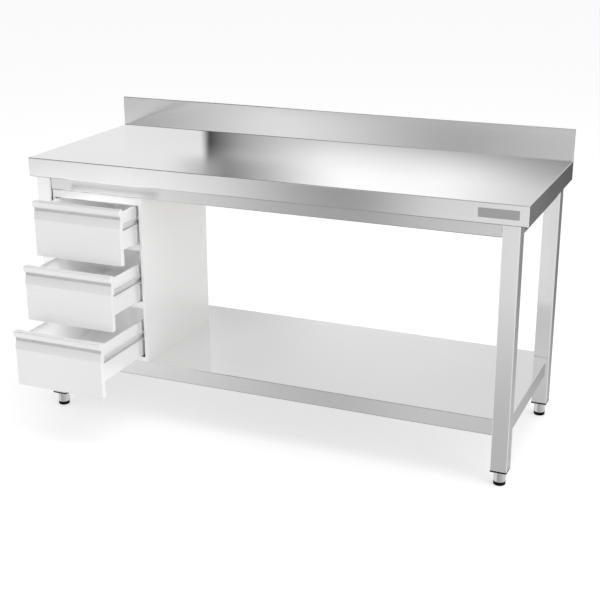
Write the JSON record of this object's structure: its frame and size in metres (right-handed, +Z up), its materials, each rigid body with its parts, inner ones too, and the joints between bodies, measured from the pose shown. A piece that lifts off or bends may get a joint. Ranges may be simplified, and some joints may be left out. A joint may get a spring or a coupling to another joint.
{
  "type": "stainless work table",
  "caption": "Stainless steel work table with an upstand, a lower shelf, levelling feet and a drawer cabinet with finger-grip fronts under one end.",
  "frame": {"origin": "middle of the bounding box's base, on the floor, with the drawers open as at rest", "axes": "+X to the right along the worktop, +Y to the back, +Z up"},
  "size_m": [1.6, 0.8554, 0.95],
  "materials": {
    "stainless_sheet": "satin brushed",
    "stainless_tube": "satin brushed",
    "cabinet_steel": "fine satin",
    "drawer_steel": "fine satin",
    "inner_steel": "mill finish",
    "zinc_steel": "zinc plated",
    "turned_steel": "turned satin",
    "plate_metal": "brushed plain badge",
    "black_plastic": "moulded matte",
    "chipboard": "laminated chipboard"
  },
  "bodies": {
    "frame": {"worktop": "stainless_sheet", "shelf": "stainless_sheet", "apron_front": "stainless_sheet", "apron_rear": "stainless_sheet", "apron_left": "stainless_sheet", "apron_right": "stainless_sheet", "leg_front_left": "stainless_tube", "leg_front_right": "stainless_tube", "leg_rear_left": "stainless_tube", "leg_rear_right": "stainless_tube", "leg_plugs": "black_plastic", "worktop_board": "chipboard", "name_plate": "plate_metal", "worktop_channels": "inner_steel", "shelf_channels": "inner_steel", "apron_end_plates": "inner_steel", "shelf_brackets": "inner_steel", "slide_posts": "inner_steel", "apron_bolts": "zinc_steel", "shelf_bolts": "zinc_steel", "cabinet_screws": "zinc_steel", "slide_outers": "zinc_steel", "cabinet_side_left": "cabinet_steel", "cabinet_side_right": "cabinet_steel", "cabinet_back": "cabinet_steel", "cabinet_top": "cabinet_steel", "cabinet_bottom": "cabinet_steel", "cabinet_cross_rails": "cabinet_steel"},
    "drawer_bottom": {"drawer_bottom_front": "drawer_steel", "drawer_bottom_end_caps": "drawer_steel", "drawer_bottom_box": "drawer_steel", "drawer_bottom_screws": "zinc_steel", "drawer_bottom_slides": "zinc_steel"},
    "slide_cage_bottom": {"slide_cages_bottom": "zinc_steel"},
    "drawer_middle": {"drawer_middle_front": "drawer_steel", "drawer_middle_end_caps": "drawer_steel", "drawer_middle_box": "drawer_steel", "drawer_middle_screws": "zinc_steel", "drawer_middle_slides": "zinc_steel"},
    "slide_cage_middle": {"slide_cages_middle": "zinc_steel"},
    "drawer_top": {"drawer_top_front": "drawer_steel", "drawer_top_end_caps": "drawer_steel", "drawer_top_box": "drawer_steel", "drawer_top_screws": "zinc_steel", "drawer_top_slides": "zinc_steel"},
    "slide_cage_top": {"slide_cages_top": "zinc_steel"},
    "foot_front_left": {"foot_front_left_sleeve": "turned_steel", "foot_front_left_pad": "black_plastic", "foot_front_left_stem": "zinc_steel"},
    "foot_front_right": {"foot_front_right_sleeve": "turned_steel", "foot_front_right_pad": "black_plastic", "foot_front_right_stem": "zinc_steel"},
    "foot_rear_left": {"foot_rear_left_sleeve": "turned_steel", "foot_rear_left_pad": "black_plastic", "foot_rear_left_stem": "zinc_steel"},
    "foot_rear_right": {"foot_rear_right_sleeve": "turned_steel", "foot_rear_right_pad": "black_plastic", "foot_rear_right_stem": "zinc_steel"}
  },
  "joints": [
    {"name": "drawer_bottom_travel", "type": "slide", "parent": "frame", "child": "drawer_bottom", "axis": [0, -1, 0], "range_m": [-0.244, 0.076]},
    {"name": "slide_cage_bottom_travel", "type": "slide", "parent": "frame", "child": "slide_cage_bottom", "axis": [0, -1, 0], "range_m": [-0.122, 0.038]},
    {"name": "drawer_middle_travel", "type": "slide", "parent": "frame", "child": "drawer_middle", "axis": [0, -1, 0], "range_m": [-0.168, 0.152]},
    {"name": "slide_cage_middle_travel", "type": "slide", "parent": "frame", "child": "slide_cage_middle", "axis": [0, -1, 0], "range_m": [-0.084, 0.076]},
    {"name": "drawer_top_travel", "type": "slide", "parent": "frame", "child": "drawer_top", "axis": [0, -1, 0], "range_m": [-0.097, 0.223]},
    {"name": "slide_cage_top_travel", "type": "slide", "parent": "frame", "child": "slide_cage_top", "axis": [0, -1, 0], "range_m": [-0.0485, 0.1115]},
    {"name": "foot_front_left_height", "type": "slide", "parent": "frame", "child": "foot_front_left", "axis": [0, 0, -1], "range_m": [0, 0.025]},
    {"name": "foot_front_right_height", "type": "slide", "parent": "frame", "child": "foot_front_right", "axis": [0, 0, -1], "range_m": [0, 0.025]},
    {"name": "foot_rear_left_height", "type": "slide", "parent": "frame", "child": "foot_rear_left", "axis": [0, 0, -1], "range_m": [0, 0.025]},
    {"name": "foot_rear_right_height", "type": "slide", "parent": "frame", "child": "foot_rear_right", "axis": [0, 0, -1], "range_m": [0, 0.025]}
  ],
  "couplings": [
    {"joint": "slide_cage_bottom_travel", "follows": "drawer_bottom_travel", "ratio": 0.5},
    {"joint": "slide_cage_middle_travel", "follows": "drawer_middle_travel", "ratio": 0.5},
    {"joint": "slide_cage_top_travel", "follows": "drawer_top_travel", "ratio": 0.5}
  ]
}
